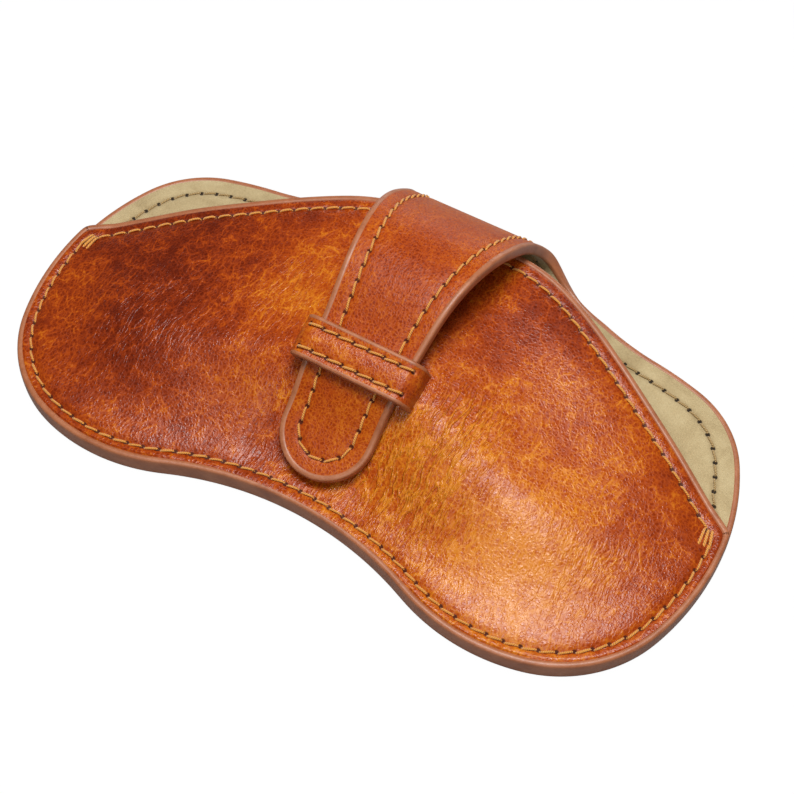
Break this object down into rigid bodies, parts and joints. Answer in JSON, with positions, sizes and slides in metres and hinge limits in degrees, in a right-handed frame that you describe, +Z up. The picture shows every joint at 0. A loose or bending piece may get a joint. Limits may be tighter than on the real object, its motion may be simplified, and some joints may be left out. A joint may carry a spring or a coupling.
{
  "type": "glasses case",
  "caption": "Soft slip-in leather glasses case with a crowned front pocket, an integral strap folded over from the back panel and a sewn keeper loop that holds the strap's tongue.",
  "frame": {"origin": "On the resting face of the back panel, on the line of symmetry, 40 mm in from the waist's edge.", "axes": "+X along the length of the case, +Y from the waist towards the mouth and the strap's fold, +Z up out of the front."},
  "size_m": [0.1634, 0.0917, 0.0317],
  "materials": {
    "leather": "waxed pull-up leather with a satin polish",
    "lining": "matte microsuede",
    "edge_paint": "semi-gloss painted leather edge",
    "thread": "waxed thread"
  },
  "bodies": {
    "pouch": {"back_leather": "leather", "back_lining": "lining", "front_leather": "leather", "front_lining": "lining", "seam_edge_paint": "edge_paint", "rim_edge_paint": "edge_paint", "mouth_edge_paint": "edge_paint", "seam_thread": "thread", "mouth_thread": "thread", "left_rim_thread": "thread", "right_rim_thread": "thread", "left_corner_tack": "thread", "right_corner_tack": "thread", "fold_thread": "thread", "keeper_leather": "leather", "keeper_backing": "lining", "keeper_edge_paint": "edge_paint", "keeper_upper_thread": "thread", "keeper_lower_thread": "thread"},
    "strap": {"strap_leather": "leather", "strap_lining": "lining", "strap_edge_paint": "edge_paint", "strap_thread": "thread", "tongue_leather": "leather", "tongue_lining": "lining", "tongue_edge_paint": "edge_paint", "tongue_thread": "thread"}
  },
  "joints": [
    {"name": "strap_open", "type": "hinge", "parent": "pouch", "child": "strap", "pos_m": [0, 0.04142, 0.0073], "axis": [-1, 0, 0], "range_deg": [0, 135], "deforming": ["tongue_leather", "tongue_lining", "tongue_edge_paint", "tongue_thread"]}
  ]
}
